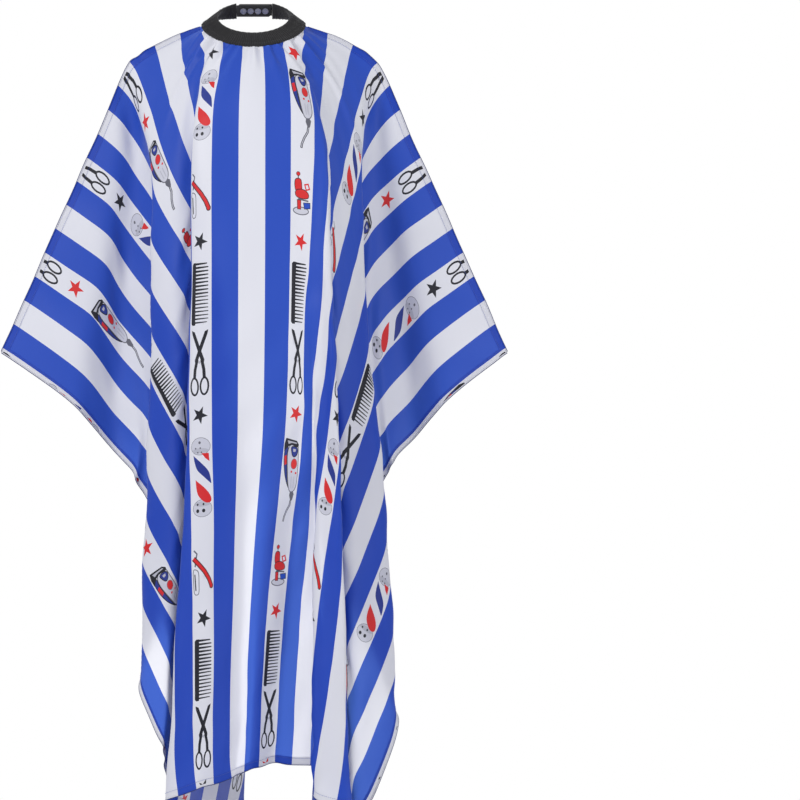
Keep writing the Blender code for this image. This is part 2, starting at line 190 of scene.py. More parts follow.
# ---------------------------------------------------------------- settling of the cloth
ACROSS_CELLS = 150              # cells of the settling grid
DOWN_CELLS = 127
SETTLE_ROUNDS = 300
SQUASH_RESISTANCE = 0.45        # share of a squash undone in each round; a stretch is undone whole
SLANT_SHARE = 0.3               # how much of that goes for the cells' diagonals
CREASE_ROUNDS = 4               # rounds of smoothing of the first form, away from the neck
NECK_ROUNDS = 9                 # and close to it, where the fold lines crowd together
NECK_REACH = 0.22               # from this far out the cloth counts as away from the neck
NECK_FADE = 0.08
HOLD_SEEN = 0.32                # pull towards the form near a fold line that shows
HOLD_ELSEWHERE = 0.012
SAG = 0.00002                   # drop in each round
STIFFNESS = 0.08                # pull towards the unbent form in each round
BEND_ROUNDS = 2                 # rounds of smoothing that give the unbent form
PRESS_ROUNDS = 2                # rounds that press out creases narrower than two cells

# Creases from the neckband: turn from the front, length, sideways lean, height.
CREASES = ((-1.20, 0.11, 0.10, 0.0040), (-0.93, 0.19, -0.12, 0.0062), (-0.66, 0.10, 0.10, 0.0042),
           (-0.42, 0.13, -0.06, 0.0046), (-0.19, 0.07, 0.08, 0.0034), (0.03, 0.06, 0.00, 0.0030),
           (0.24, 0.12, 0.10, 0.0044), (0.47, 0.16, 0.22, 0.0054), (0.72, 0.12, -0.05, 0.0044),
           (0.97, 0.19, 0.14, 0.0060), (1.24, 0.10, -0.10, 0.0038))
CREASE_WIDTH = 0.0075

# ---------------------------------------------------------------- print
MOTIF_REPEAT = 0.615
MOTIF_START = 0.445             # how far down the first dark star is beside the centre stripe
MOTIF_DRIFT = 0.0035            # rise per stripe, to make up for the fold lines' own errors
MOTIF_MARGIN = 0.003

# ---------------------------------------------------------------- colours (linear)
WHITE = (0.80, 0.80, 0.86)
BLUE = (0.014, 0.064, 0.500)
BLACK = (0.012, 0.012, 0.018)
RED = (0.72, 0.020, 0.022)
GREY = (0.12, 0.12, 0.15)
PALE = (0.50, 0.50, 0.57)
SHADE = (0.63, 0.63, 0.71)
NAVY = (0.018, 0.035, 0.26)
PRINT_COLOURS = {"white": WHITE, "blue": BLUE, "black": BLACK, "red": RED, "grey": GREY,
                 "pale": PALE, "shade": SHADE, "navy": NAVY}


# ---------------------------------------------------------------- curves through points
def through(points, count):
    """Rows in metres on a smooth curve through the points, even along their first two numbers."""
    known = np.array(points, float) / 1000
    padded = np.vstack([2 * known[0] - known[1], known, 2 * known[-1] - known[-2]])
    steps = np.arange(12)[:, None] / 12
    spans = []
    for a, b, c, d in zip(padded, padded[1:], padded[2:], padded[3:]):
        spans.append(0.5 * (2 * b + (c - a) * steps + (2 * a - 5 * b + 4 * c - d) * steps ** 2
                            + (3 * b - a - 3 * c + d) * steps ** 3))
    curve = np.vstack(spans + [known[-1:]])
    run = np.r_[0, np.cumsum(np.linalg.norm(np.diff(curve[:, :2], axis=0), axis=1))]
    even = np.linspace(0, run[-1], count)
    return np.stack([np.interp(even, run, curve[:, axis]) for axis in range(curve.shape[1])], 1)


def fold_lines(count=45):
    """Every fold line from the left top edge to the right one, resampled."""
    lines = []
    for name, points in LEFT_FOLDS:
        line = through(points, count)
        line[:, (0, 2)] *= -1
        lines.append((name, line))
    lines += [(name, through(points, count)) for name, points in MIDDLE_FOLDS]
    lines += [(name, through(points, count)) for name, points in reversed(RIGHT_FOLDS)]
    return lines


# ---------------------------------------------------------------- neckband curves
def flattened_cosine(angle):
    cosine = np.cos(angle)
    return cosine * (1 + BACK_FLATNESS * (cosine < 0) * np.sin(angle) ** 2)


def band_edge(angle, half, middle_y, rise):
    """Points of one edge of the neckband; the angle is 0 at the front."""
    level, dip, lift = rise
    return np.stack([half[0] * np.sin(angle), middle_y - half[1] * flattened_cosine(angle),
                     level + dip * np.cos(angle) + lift * np.cos(2 * angle)], -1)


def band_low(angle):
    return band_edge(angle, LOW_HALF, LOW_Y, LOW_RISE)


def band_high(angle):
    return band_edge(angle, HIGH_HALF, HIGH_Y, HIGH_RISE)


# ---------------------------------------------------------------- the worn form
def first_form(places, lines):
    """Where each flat place lies, read straight across between neighbouring fold lines."""
    grid = np.array([line for _, line in lines])
    a, b, c, d = (grid[:-1, :-1], grid[1:, :-1], grid[1:, 1:], grid[:-1, 1:])
    triangles = np.concatenate([np.stack([x.reshape(-1, 5) for x in (a, b, c)], 1),
                                np.stack([x.reshape(-1, 5) for x in (a, c, d)], 1)])
    p, q, r = triangles[:, 0, :2], triangles[:, 1, :2], triangles[:, 2, :2]
    doubled = (q - p)[:, 0] * (r - p)[:, 1] - (r - p)[:, 0] * (q - p)[:, 1]
    real = np.abs(doubled) > 1e-9
    triangles, p, q, r, doubled = triangles[real], p[real], q[real], r[real], doubled[real]
    form = np.empty((len(places), 3))
    for start in range(0, len(places), 1000):
        s, t = (places[start:start + 1000, axis, None] for axis in (0, 1))
        w_q = ((s - p[:, 0]) * (r - p)[:, 1] - (r - p)[:, 0] * (t - p[:, 1])) / doubled
        w_r = ((q - p)[:, 0] * (t - p[:, 1]) - (s - p[:, 0]) * (q - p)[:, 1]) / doubled
        shares = np.stack([1 - w_q - w_r, w_q, w_r], -1)
        best = shares.min(-1).argmax(-1)
        rows = np.arange(len(best))
        form[start:start + 1000] = (triangles[best, :, 2:] * shares[rows, best][:, :, None]).sum(1)
    return form


def smoothed(form, held, rounds):
    """Round the creases that straight reading leaves between fold lines."""
    form = form.copy()
    for _ in range(rounds):
        soft = form.copy()
        soft[1:-1] = (form[:-2] + 2 * form[1:-1] + form[2:]) / 4
        softer = soft.copy()
        softer[:, 1:-1] = (soft[:, :-2] + 2 * soft[:, 1:-1] + soft[:, 2:]) / 4
        form = np.where(held[:, :, None], form, softer)
    return form


def flat_distance(places, line):
    return np.hypot(places[:, None, 0] - line[None, :, 0],
                    places[:, None, 1] - line[None, :, 1]).min(1)


def pull_together(form, freedom, step, length, squash):
    """One pass of distance limits between each grid point and the one `step` cells on."""
    da, dd = step
    rows, cols = form.shape[:2]
    lead = max(abs(da), abs(dd))
    for phase in range(2):
        if da:
            index_a = np.arange(0, rows - da)
            index_a = index_a[(index_a // lead) % 2 == phase]
            cols_a = np.arange(max(0, -dd), cols - max(0, dd))
        else:
            index_a = np.arange(rows)
            cols_a = np.arange(0, cols - dd)
            cols_a = cols_a[(cols_a // lead) % 2 == phase]
        near = np.ix_(index_a, cols_a)
        far = np.ix_(index_a + da, cols_a + dd)
        gap = form[far] - form[near]
        distance = np.maximum(np.linalg.norm(gap, axis=-1), 1e-9)
        excess = distance - length
        excess = np.where(excess < 0, excess * squash, excess)
        free_near, free_far = freedom[near], freedom[far]
        share = excess / distance / np.maximum(free_near + free_far, 1e-9)
        form[near] += gap * (share * free_near)[..., None]
        form[far] -= gap * (share * free_far)[..., None]


def worn_grid():
    """Points of the worn cloth on an even grid over the flat cloth, drawn towards its flat size."""
    across = np.linspace(-HALF_WIDTH, HALF_WIDTH, ACROSS_CELLS + 1)
    down = np.linspace(0, LENGTH, DOWN_CELLS + 1)
    s, t = np.meshgrid(across, down, indexing="ij")
    places = np.stack([s.ravel(), t.ravel()], 1)
    radius = np.hypot(*places.T)
    inside = radius < NOTCH
    around = np.arctan2(places[:, 0], places[:, 1])
    edge = NOTCH * np.stack([np.sin(around), np.cos(around)], 1)
    mirrored = np.where(inside[:, None], 2 * edge - places, places)
    lines = fold_lines()
    form = first_form(mirrored, lines)
    form[inside] = 2 * band_low(around[inside]) - form[inside]
    form = form.reshape(*s.shape, 3)

    held = (inside | (places[:, 1] == 0)).reshape(s.shape)
    creased = smoothed(form, held, CREASE_ROUNDS)
    even = smoothed(form, held, NECK_ROUNDS)
    near_neck = np.clip((NECK_REACH - radius.reshape(s.shape)) / NECK_FADE, 0, 1)[..., None]
    form = creased + (even - creased) * near_neck
    seen = np.min([flat_distance(places, line) for name, line in lines if name in SEEN_FOLDS], 0)
    cell = across[1] - across[0]
    hold = np.where(seen < cell, HOLD_SEEN, HOLD_ELSEWHERE).reshape(s.shape)
    target = form.copy()
    freedom = np.where(held, 0.0, 1.0)
    cell_down = down[1] - down[0]
    slant = math.hypot(cell, cell_down)
    for _ in range(SETTLE_ROUNDS):
        form[..., 2] -= SAG * freedom
        form += (target - form) * (hold * freedom)[..., None]
        pull_together(form, freedom, (1, 0), cell, SQUASH_RESISTANCE)
        pull_together(form, freedom, (0, 1), cell_down, SQUASH_RESISTANCE)
        for step in ((1, 1), (1, -1)):
            pull_together(form, freedom, step, slant, SLANT_SHARE * SQUASH_RESISTANCE)
        form += (smoothed(form, held, BEND_ROUNDS) - form) * STIFFNESS
    return smoothed(form, held, PRESS_ROUNDS)


WORN = worn_grid()


def cubic_weights(share):
    """Catmull-Rom weights of four neighbouring values."""
    square, cube = share ** 2, share ** 3
    return 0.5 * np.stack([-share + 2 * square - cube, 2 - 5 * square + 3 * cube,
                           share + 4 * square - 3 * cube, cube - square], -1)


def settled(places):
    """The settled grid read smoothly at flat places."""
    places = np.asarray(places, float)
    padded = np.pad(WORN, ((1, 1), (1, 1), (0, 0)), mode="reflect", reflect_type="odd")
    u = np.clip((places[:, 0] + HALF_WIDTH) / (2 * HALF_WIDTH) * ACROSS_CELLS, 0, ACROSS_CELLS)
    v = np.clip(places[:, 1] / LENGTH * DOWN_CELLS, 0, DOWN_CELLS)
    iu = np.minimum(u.astype(int), ACROSS_CELLS - 1)
    iv = np.minimum(v.astype(int), DOWN_CELLS - 1)
    wu, wv = cubic_weights(u - iu), cubic_weights(v - iv)
    total = np.zeros((len(places), 3))
    for a in range(4):
        for b in range(4):
            total += padded[iu + a, iv + b] * (wu[:, a] * wv[:, b])[:, None]
    return total


def worn(places):
    """The smooth worn surface at flat places, exactly on the neckband's low edge at the neck."""
    places = np.asarray(places, float)
    form = settled(places)
    radius = np.hypot(*places.T)
    close = (radius < NOTCH + NECK_BLEND) & (radius > 1e-6)
    around = np.arctan2(places[close, 0], np.maximum(places[close, 1], 0))
    ring = NOTCH * np.stack([np.sin(around), np.cos(around)], 1)
    low = band_low(around)
    below = (radius[close] - NOTCH)[:, None]
    joined = form[close] + (low - settled(ring)) * (1 - np.maximum(below, 0) / NECK_BLEND)
    tucked = low + (band_high(around) - low) * (-below / BAND_HEIGHT)
    form[close] = np.where(below < 0, tucked, joined)
    return form


def outward(places, reach=0.003):
    """Unit normals of the worn surface, out of the cape."""
    places = np.asarray(places, float)
    along = worn(places + (reach, 0)) - worn(places - (reach, 0))
    down = worn(places + (0, reach)) - worn(places - (0, reach))
    normal = np.cross(down, along)
    return normal / np.maximum(np.linalg.norm(normal, axis=1, keepdims=True), 1e-12)


def pulled_creases(around, radius, below):
    """Sharp creases that run out from the neckband."""
    total = np.zeros(len(around))
    for turn, length, lean, height in CREASES:
        aside = (radius * (around - turn) - lean * below) / CREASE_WIDTH
        shape = np.exp(-aside ** 2) - 0.7 * np.exp(-(aside - 1.7) ** 2)
        total += height * shape * np.clip(1 - below / length, 0, 1) * np.clip(below / 0.008, 0, 1)
    return total


def ripple(places):
    """How far the cloth stands off its smooth form: gathers under the band and small creases."""
    s, t = places[:, 0], places[:, 1]
    radius = np.hypot(s, t)
    around = np.arctan2(s, np.maximum(t, 1e-6))
    below = np.maximum(radius - NOTCH, 0)
    front = np.clip((math.pi / 2 - np.abs(around)) / 0.15, 0, 1)
    wander = 0.25 * np.sin(3 * around + 1.0) + 0.2 * np.sin(7 * around)
    fine = np.sin(44 * (around + 0.05 * wander)) * np.exp(-below / 0.014) * 0.0017
    broad = np.sin(19 * around + 1.3 + wander) * np.exp(-below / 0.060) * 0.0032
    creases = (np.sin(61 * s + 17 * t + 2.1 * np.sin(9 * t)) * np.sin(23 * t - 11 * s) * 0.0013
               + np.sin(38 * s - 9 * t + 1.7 * np.sin(6 * t + 4 * s)) * 0.0013)
    creases *= np.clip(below / 0.08, 0, 1)
    clear_of_band = np.clip((below - 0.002) / 0.006, 0, 1)
    gathers = fine + broad + pulled_creases(around, radius, below)
    return gathers * front * clear_of_band + creases


def laid(places, off=0.0):
    """The finished cloth surface at flat places, moved out by `off`."""
    places = np.asarray(places, float).reshape(-1, 2)
    return worn(places) + outward(places) * (ripple(places) + off)[:, None]


# ---------------------------------------------------------------- materials
def new_material(name, colour, roughness, metallic=0.0):
    made = bpy.data.materials.new(name)
    made.use_nodes = True
    shader = made.node_tree.nodes["Principled BSDF"]
    shader.inputs["Base Color"].default_value = (*colour, 1.0)
    shader.inputs["Roughness"].default_value = roughness
    shader.inputs["Metallic"].default_value = metallic
    return made, made.node_tree, shader


def bump(tree, shader, height, strength, distance):
    """Bump on the shader from the socket that gives the height."""
    node = tree.nodes.new("ShaderNodeBump")
    node.inputs["Strength"].default_value = strength
    node.inputs["Distance"].default_value = distance
    tree.links.new(height, node.inputs["Height"])
    tree.links.new(node.outputs["Normal"], shader.inputs["Normal"])


def woven_bump(tree, shader, thread, strength, distance):
    """A plain weave from the flat cloth's coordinates, as bump on the shader."""
    place = tree.nodes.new("ShaderNodeUVMap")
    place.uv_map = "flat"
    waves = []
    for direction in ("X", "Y"):
        wave = tree.nodes.new("ShaderNodeTexWave")
        wave.bands_direction = direction
        wave.inputs["Scale"].default_value = 0.314 / thread
        tree.links.new(place.outputs["UV"], wave.inputs["Vector"])
        waves.append(wave)
    crossed = tree.nodes.new("ShaderNodeMath")
    crossed.operation = "MAXIMUM"
    for slot, wave in enumerate(waves):
        tree.links.new(wave.outputs["Fac"], crossed.inputs[slot])
    bump(tree, shader, crossed.outputs[0], strength, distance)


def uneven_roughness(tree, shader, scale, low, high):
    """Slightly shinier and duller patches."""
    noise = tree.nodes.new("ShaderNodeTexNoise")
    noise.inputs["Scale"].default_value = scale
    spread = tree.nodes.new("ShaderNodeMapRange")
    spread.inputs["To Min"].default_value = low
    spread.inputs["To Max"].default_value = high
    tree.links.new(noise.outputs["Fac"], spread.inputs["Value"])
    tree.links.new(spread.outputs["Result"], shader.inputs["Roughness"])


def polyester(name, colour):
    made, tree, shader = new_material("polyester_" + name, colour, 0.5)
    shader.inputs["Specular IOR Level"].default_value = 0.22
    shader.inputs["Sheen Weight"].default_value = 0.04
    shader.inputs["Sheen Roughness"].default_value = 0.4
    shader.inputs["Transmission Weight"].default_value = 0.15
    woven_bump(tree, shader, 0.0006, 0.15, 0.0001)
    uneven_roughness(tree, shader, 9.0, 0.42, 0.58)
    return made


PRINT = {name: polyester(name, colour) for name, colour in PRINT_COLOURS.items()}
PRINT_NAMES = list(PRINT)


# ---------------------------------------------------------------- printed motifs
# Each motif is a list of (ink, outline); outlines are (down, across) in millimetres from its
# centre, and a later outline lies on an earlier one.
def ellipse(down, across, half_down, half_across, tilt=0.0, points=16):
    turn = math.radians(tilt)
    ring = []
    for step in range(points):
        angle = 2 * math.pi * step / points
        a, b = half_down * math.cos(angle), half_across * math.sin(angle)
        ring.append((down + a * math.cos(turn) - b * math.sin(turn),
                     across + a * math.sin(turn) + b * math.cos(turn)))
    return ring


def stroke(points, width):
    """A straight or bent stroke: the outline of a line of points."""
    sides = ([], [])
    for place, (down, across) in enumerate(points):
        before, after = points[max(place - 1, 0)], points[min(place + 1, len(points) - 1)]
        run = math.hypot(after[0] - before[0], after[1] - before[1])
        du, dv = -(after[1] - before[1]) / run * width / 2, (after[0] - before[0]) / run * width / 2
        sides[0].append((down + du, across + dv))
        sides[1].append((down - du, across - dv))
    return sides[0] + sides[1][::-1]


def anticlockwise(outline):
    doubled = sum(a[0] * b[1] - b[0] * a[1] for a, b in zip(outline, outline[1:] + outline[:1]))
    return outline if doubled > 0 else outline[::-1]


def inset(outline, depth):
    """The outline moved in by the same depth all round."""
    turned = anticlockwise(outline)
    moved = []
    for before, at, after in zip(turned[-1:] + turned[:-1], turned, turned[1:] + turned[:1]):
        first = math.atan2(at[1] - before[1], at[0] - before[0])
        second = math.atan2(after[1] - at[1], after[0] - at[0])
        half = ((second - first + math.pi) % (2 * math.pi) - math.pi) / 2
        reach = depth / max(math.cos(half), 0.5)
        angle = first + half + math.pi / 2
        moved.append((at[0] + reach * math.cos(angle), at[1] + reach * math.sin(angle)))
    return moved


def rounded(outline):
    """The outline with its corners cut twice."""
    for _ in range(2):
        cut = []
        for at, after in zip(outline, outline[1:] + outline[:1]):
            cut.append((0.75 * at[0] + 0.25 * after[0], 0.75 * at[1] + 0.25 * after[1]))
            cut.append((0.25 * at[0] + 0.75 * after[0], 0.25 * at[1] + 0.75 * after[1]))
        outline = cut
    return outline


def ringed(outline, ink_ring, ink_fill, border):
    """A filled shape with an even border."""
    return [(ink_ring, outline), (ink_fill, inset(outline, border))]


def dot(ink, down, across, size):
    return (ink, ellipse(down, across, size, size, 0, 8))


def star(ink):
    tips = []
    for step in range(10):
        reach = 15.5 if step % 2 == 0 else 6.2
        angle = math.pi * step / 5 + 0.12
        tips.append((reach * math.sin(angle), reach * math.cos(angle)))
    return [(ink, tips)]


def comb_and_scissors():
    """A wide comb, then open scissors: two blades, two finger rings and a pivot."""
    shapes = [("black", [(-109, -15), (-106, -18), (-10, -18), (-7, -15), (-7, -9), (-109, -9)])]
    for tooth in range(17):
        start = -108.5 + 6.0 * tooth
        thick = 3.9 if tooth < 9 else 2.8
        tip = 16.5 if 0 < tooth < 16 else 14.0
        shapes.append(("black", [(start, -9.6), (start + thick, -9.6),
                                 (start + thick * 0.75, tip), (start + thick * 0.25, tip)]))
    for side in (-1, 1):
        shapes.append(("black", [(54, -4.0 * side), (8, 15.0 * side), (1, 16.5 * side),
                                 (4, 10.0 * side), (50, -9.5 * side), (60, -8.0 * side)]))
        shapes.append(("black", stroke([(50, -4.5 * side), (66, -8.5 * side), (80, -9.5 * side)],
                                       5.8)))
        shapes += ringed(ellipse(93, -9.4 * side, 15.5, 8.8, 3 * side), "black", "white", 3.2)
    shapes.append(dot("pale", 54, 0, 2.4))
    return shapes


def pole():
    """A barber's pole: pale domed ends with small vents, and slanting leaves of red and blue."""
    shapes = []
    for down, across in ((-51, 1), (50, 1)):
        shapes += ringed(ellipse(down, across, 14.5, 18.5, 0, 24), "grey", "shade", 0.7)
        shapes.append(("pale", ellipse(down * 0.86, across, 4.2, 15.5, 0, 20)))
    shapes.append(("red", [(-39.5, 3), (-39.5, 16), (-26, 17), (-31, 10)]))
    shapes.append(("navy", rounded([(-38, -13), (-36, -12), (-24, 2), (-11, 15), (0, 18),
                                    (11, 19.5), (9, 17), (-1, 6), (-12, -7), (-25, -11)])))
    shapes.append(("red", rounded([(2, -11), (4, -10), (13, 2), (22, 12), (33, 19), (41, 18),
                                   (42, 8), (34, -3), (24, -9.5)])))
    for down, size in ((43.5, 1.9), (54, 3.2)):
        for across in (-8, 3.5):
            shapes.append(dot("black", down, across, size))
    shapes.append(dot("grey", -57, 0, 2.4))
    for down, across in ((-48, -8), (-48, 1), (-41, -4), (-41, 3)):
        shapes.append(dot("grey", down, across, 1.5))
    return shapes


def razor():
    """An open straight razor: a red bowed handle and a pale outlined blade."""
    handle = [(-22, -18), (-12, -8), (0, 3), (13, 12), (25, 17.5)]
    return ([("grey", stroke([(-35, -17), (-29, -11), (-22, -13), (-8, -15)], 2.6))]
            + ringed(rounded([(-5, -20), (16, -19.5), (36, -19), (39, -14), (37, -7.5), (18, -7.5),
                              (1, -7.5), (-4, -12)]), "grey", "white", 1.3)
            + [("black", stroke([(4, -16), (31, -14.5)], 2.2)),
               ("black", stroke(handle, 8.4)), ("black", ellipse(25, 17, 4.2, 4.2)),
               ("red", stroke(handle, 5.4)), ("red", ellipse(24.8, 16.8, 2.9, 2.8))])


def clipper():
    """A hair clipper: dark blade head, pale body with a red button, side grip and a cord."""
    body = [(-50, -8), (-50, 14), (-36, 16), (0, 18.5), (18, 19.5), (28, 15), (31, 8), (28, 1),
            (12, -4), (-12, -8), (-34, -12)]
    grip = [(-53, -17), (-40, -20), (-22, -19), (-2, -14), (14, -7), (26, 1), (12, -4),
            (-12, -8), (-34, -11), (-46, -9)]
    window = [(-47, -5), (-46, 11), (-38, 15), (-29, 11), (-27, 4), (-34, -1)]
    return (ringed(rounded(body), "grey", "shade", 1.5)
            + ringed(rounded(grip), "black", "navy", 1.4)
            + [("red", [(-30, -18), (-32, -12.5), (-17, -10), (-15, -15.5)]),
               ("black", [(-60, -18), (-55, 9), (-49, 15), (-44, 14), (-48, -2), (-46, -10),
                          (-38, -20), (-50, -21)]),
               ("pale", [(-56, -14), (-52.5, 8), (-50, 10), (-51.5, -3), (-50, -11)])]
            + ringed(rounded(window), "black", "navy", 1.5)
            + [("pale", [(-42, 2), (-41, 9), (-37, 8), (-37, 3)])]
            + ringed(ellipse(-17, 7, 9.0, 7.0), "grey", "red", 0.8)
            + [dot("red", -4, 3, 2.0), dot("red", -2, 13, 2.0),
               ("pale", stroke([(4, 4), (23, 6)], 1.8)), ("pale", stroke([(4, 10), (23, 11)], 1.8)),
               ("black", stroke([(38, 10), (52, 8), (62, 2), (72, -2), (79, -3)], 4.2)),
               ("grey", [(29, 5), (35, 4), (44, 8), (43, 12.5), (33, 15), (29, 12)]),
               ("pale", stroke([(44, 9.5), (52, 8), (62, 2), (72, -2), (78, -2.9)], 1.8))])


def chair():
    """A barber's chair seen from the side: headrest, back, seat, arm, base and footrest."""
    return (ringed(ellipse(-33, -8, 3.8, 4.2), "black", "red", 0.8)
            + [("black", stroke([(-30, -8), (-25, -8)], 1.8))]
            + ringed(ellipse(27, -1, 7.0, 17.0, 0, 20), "grey", "shade", 1.6)
            + ringed(rounded([(-26, -14), (-26, -2), (-18, 0), (-5, 1), (-2, -13), (-16, -16)]),
                     "black", "red", 1.2)
            + ringed(rounded([(-7, -14), (-10, 3), (-3, 15), (7, 15), (8, -3), (4, -14)]),
                     "black", "red", 1.2)
            + ringed([(-17, 4), (-19, 13), (-9, 17), (-6, 8)], "red", "white", 2.4)
            + [("grey", stroke([(8, -8), (10, 14)], 2.6))]
            + ringed([(9, -10), (9, -1), (25, -1), (25, -9)], "black", "red", 1.1)
            + ringed([(13, 3), (12, 18), (22, 19), (24, 6)], "black", "blue", 1.1))


def motifs_on(stripe):
    """The printed motifs of one white stripe: (centre down, half length, coloured outlines)."""
    dark = stripe % 8 == 6
    ink = "black" if dark else "red"
    start = MOTIF_START - MOTIF_DRIFT * (abs(stripe) - 2)
    order = ((0.0, 17, star(ink)), (0.143, 110, comb_and_scissors()), (0.283, 17, star(ink)),
             (0.385, 68, pole()) if dark else (0.383, 80, clipper()),
             (0.538, 41, razor() if dark else chair()))
    across = stripe * STRIPE
    placed = []
    for turn in range(-1, 3):
        for offset, half, shapes in order:
            down = start + offset + turn * MOTIF_REPEAT
            outlines = [(colour, [(across + v / 1000, down + u / 1000) for u, v in points])
                        for colour, points in shapes]
            placed.append((down, half / 1000, outlines))
    return placed


# ---------------------------------------------------------------- the printed cape cloth
def across_lines():
    """Grid lines across the cloth: one on every stripe's edge and six between two edges."""
    reach = HALF_WIDTH - CELL / 2
    first = math.ceil((-reach + STRIPE / 2) / CELL)
    last = math.floor((reach + STRIPE / 2) / CELL)
    inner = [-STRIPE / 2 + CELL * step for step in range(first, last + 1)]
    return [-HALF_WIDTH] + inner + [HALF_WIDTH]


DOWN_ROWS = round(LENGTH / CELL)
ROW = LENGTH / DOWN_ROWS
ACROSS = across_lines()
NECK_CUT = NOTCH - 0.003        # the cloth's edge is tucked this far into the band
PRINT_EDGE = 0.0006             # a drawing stops this far inside its stripe
PRINT_END = 0.003               # and this far from the neck and the front hem
YOKE_STRIPES = 3                # stripes either side of the centre with a finer mesh at the neck
YOKE_ROWS = math.ceil((NOTCH + 0.055) / ROW)
YOKE_SPLIT = 4                  # finer steps along the stripes' edges there
YOKE_REACH = NOTCH + 0.050
YOKE_RINGS = (0.0, 0.0016, 0.0034, 0.0056, 0.0084, 0.012, 0.0165, 0.022, 0.028, 0.035, 0.042)
YOKE_ANGLES = 230


def stripe_at(across):
    return math.floor(across / STRIPE + 0.5)


def stripe_colour(stripe):
    return "blue" if stripe % 2 else "white"


def clipped(outline, low, high):
    """The part of an outline between two corners of the flat cloth."""
    limits = ((0, low[0], 1), (0, high[0], -1), (1, low[1], 1), (1, high[1], -1))
    for axis, limit, keep in limits:
        kept = []
        for start, end in zip(outline, outline[1:] + outline[:1]):
            depth_start, depth_end = (start[axis] - limit) * keep, (end[axis] - limit) * keep
            if depth_start >= 0:
                kept.append(start)
            if depth_start * depth_end < 0:
                share = depth_start / (depth_start - depth_end)
                kept.append(tuple(a + (b - a) * share for a, b in zip(start, end)))
        outline = kept
        if len(outline) < 3:
            return []
    return outline


class FlatMesh:
    """Vertices on the flat cloth, welded by place, and coloured faces on them."""

    def __init__(self):
        self.places, self.faces, self.colours, self.known = [], [], [], {}

    def vertex(self, place):
        key = (round(place[0] * 1e5), round(place[1] * 1e5))
        if key not in self.known:
            self.known[key] = len(self.places)
            self.places.append((float(place[0]), float(place[1])))
        return self.known[key]

    def face(self, corners, colour):
        indices = [self.vertex(place) for place in corners]
        if len(set(indices)) == len(indices):
            self.faces.append(indices)
            self.colours.append(PRINT_NAMES.index(colour))

    def quads(self, columns, rows, colour):
        for row in rows:
            top, low = row * ROW, (row + 1) * ROW
            for left, right in zip(columns, columns[1:]):
                self.face(((left, top), (left, low), (right, low), (right, top)), colour)

    def cut_block(self, border, inner_points, outlines, ground):
        """Triangles inside a border, with each outline's colour on its own triangles."""
        origin = Vector(border[0])
        border = anticlockwise(border)
        corners = [anticlockwise(outline) for _, outline in outlines]
        drawn = [place for outline in corners for place in outline]
        if drawn:
            gap = np.array(drawn)
            inner_points = [p for p in inner_points
                            if np.hypot(gap[:, 0] - p[0], gap[:, 1] - p[1]).min() > 0.0012]
        points = list(border) + list(inner_points) + drawn
        rings = [list(range(len(border)))]
        start = len(border) + len(inner_points)
        for outline in corners:
            rings.append(list(range(start, start + len(outline))))
            start += len(outline)
        scaled = [(Vector(p) - origin) * 1000 for p in points]
        cut = delaunay_2d_cdt(scaled, [], rings, 1, 1e-5, True)
        made_points, _, made_faces, from_points, _, from_faces = cut
        places = [points[sources[0]] if sources else tuple(Vector(point) / 1000 + origin)
                  for point, sources in zip(made_points, from_points)]
        for face, sources in zip(made_faces, from_faces):
            if 0 not in sources:
                continue
            top = max(sources)
            colour = outlines[top - 1][0] if top else ground
            self.face([places[index] for index in reversed(face)], colour)


def yoke_points(left, right):
    """Fine points around the neck between two grid lines."""
    margin = 0.0007
    points = []
    for ring in YOKE_RINGS:
        for step in range(YOKE_ANGLES + 1):
            angle = math.pi * (step / YOKE_ANGLES - 0.5)
            s = (NOTCH + ring) * math.sin(angle)
            t = (NOTCH + ring) * math.cos(angle)
            if left + margin < s < right - margin and t > margin:
                points.append((s, t))
    return points


def yoke_border(left, right, columns, last_row):
    """The border of a stripe's top block, with the neck's cut-out where the stripe meets it."""
    fine = [step * ROW / YOKE_SPLIT for step in range(last_row * YOKE_SPLIT + 1)]
    coarse = [step * ROW for step in range(last_row + 1)]
    inner_edge = (YOKE_STRIPES + 0.25) * STRIPE

    def side(across):
        start = math.sqrt(NECK_CUT ** 2 - across ** 2) if abs(across) < NECK_CUT else None
        steps = fine if abs(across) < inner_edge else coarse
        if start is None:
            return [(across, t) for t in steps]
        return [(across, start)] + [(across, t) for t in steps if t > start + 0.0004]

    bottom = [(s, last_row * ROW) for s in columns[1:-1]]
    arc = []
    for step in range(YOKE_ANGLES + 1):
        angle = math.pi * (step / YOKE_ANGLES - 0.5)
        s, t = NECK_CUT * math.sin(angle), NECK_CUT * math.cos(angle)
        if left + 1e-5 < s < right - 1e-5 and t > -1e-9:
            arc.append((s, max(t, 0.0)))
    top = [(s, 0.0) for s in columns[1:-1] if abs(s) > NECK_CUT + 0.0004]
    over = sorted(arc + top, reverse=True)
    return side(left) + bottom + side(right)[::-1] + over


def print_spans(stripe, low, high):
    """Runs of rows that need cutting: [first row, last row, outlines], the neck's run first."""
    spans = [[0, YOKE_ROWS, []]] if abs(stripe) <= YOKE_STRIPES else []
    if stripe % 4 != 2:
        return spans
    for down, half, outlines in motifs_on(stripe):
        kept = [(ink, clipped(line, low, high)) for ink, line in outlines]
        kept = [(ink, line) for ink, line in kept if line]
        if not kept:
            continue
        first = max(0, math.floor((down - half - MOTIF_MARGIN) / ROW))
        last = min(DOWN_ROWS, math.ceil((down + half + MOTIF_MARGIN) / ROW))
        if spans and first <= spans[-1][1]:
            spans[-1][1] = max(last, spans[-1][1])
            spans[-1][2] += kept
        else:
            spans.append([first, last, kept])
    return spans


